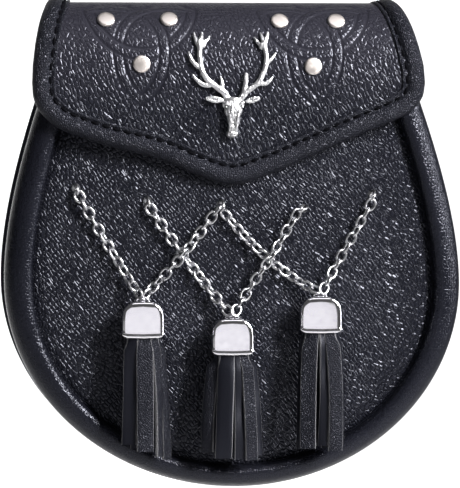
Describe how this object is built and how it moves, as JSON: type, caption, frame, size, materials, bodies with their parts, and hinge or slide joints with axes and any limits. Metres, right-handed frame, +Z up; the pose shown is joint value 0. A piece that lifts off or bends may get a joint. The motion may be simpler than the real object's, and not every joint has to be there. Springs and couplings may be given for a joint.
{
  "type": "sporran pouch",
  "caption": "Round-bottomed black leather sporran pouch with a bound flap, dome studs, a stag emblem, chains and tassels, worn on a belt.",
  "frame": {"origin": "midway between the two belt loops on the back, in the middle of the gap that a belt runs through", "axes": "+Z up as worn, the front faces -Y, +X is to the viewer's right when looking at the front"},
  "size_m": [0.1927, 0.0592, 0.2053],
  "materials": {
    "back_leather": "smooth matt leather",
    "roll_leather": "smooth padded leather, satin",
    "panel_leather": "pebbled leather, satin",
    "flap_leather": "pebbled and tooled leather, satin",
    "binding_leather": "finely grained leather, satin",
    "fringe_leather": "cut leather strips",
    "loop_leather": "smooth leather",
    "nickel": "satin nickel",
    "antique_silver": "antiqued cast silver colour",
    "polished_silver": "polished silver colour",
    "chain_metal": "bright plated wire",
    "anchor_metal": "plain",
    "closure_metal": "plain",
    "stitch_thread": "waxed black thread"
  },
  "bodies": {
    "root": {"back_panel": "back_leather", "belt_loop_left": "loop_leather", "belt_loop_right": "loop_leather", "chain_1": "chain_metal", "chain_2": "chain_metal", "chain_3": "chain_metal", "chain_4": "chain_metal", "chain_5": "chain_metal", "chain_6": "chain_metal", "chain_anchor_1": "anchor_metal", "chain_anchor_2": "anchor_metal", "chain_anchor_3": "anchor_metal", "chain_anchor_4": "anchor_metal", "chain_anchor_5": "anchor_metal", "closure_stud": "closure_metal", "flap": "flap_leather", "flap_binding": "binding_leather", "front_panel": "panel_leather", "gusset": "roll_leather", "stag_emblem": "antique_silver", "stud_1": "nickel", "stud_2": "nickel", "stud_3": "nickel", "stud_4": "nickel", "stud_5": "nickel", "stud_6": "nickel", "tassel_cap_1": "polished_silver", "tassel_cap_2": "polished_silver", "tassel_cap_3": "polished_silver", "tassel_fringe_1": "fringe_leather", "tassel_fringe_2": "fringe_leather", "tassel_fringe_3": "fringe_leather"}
  },
  "joints": []
}
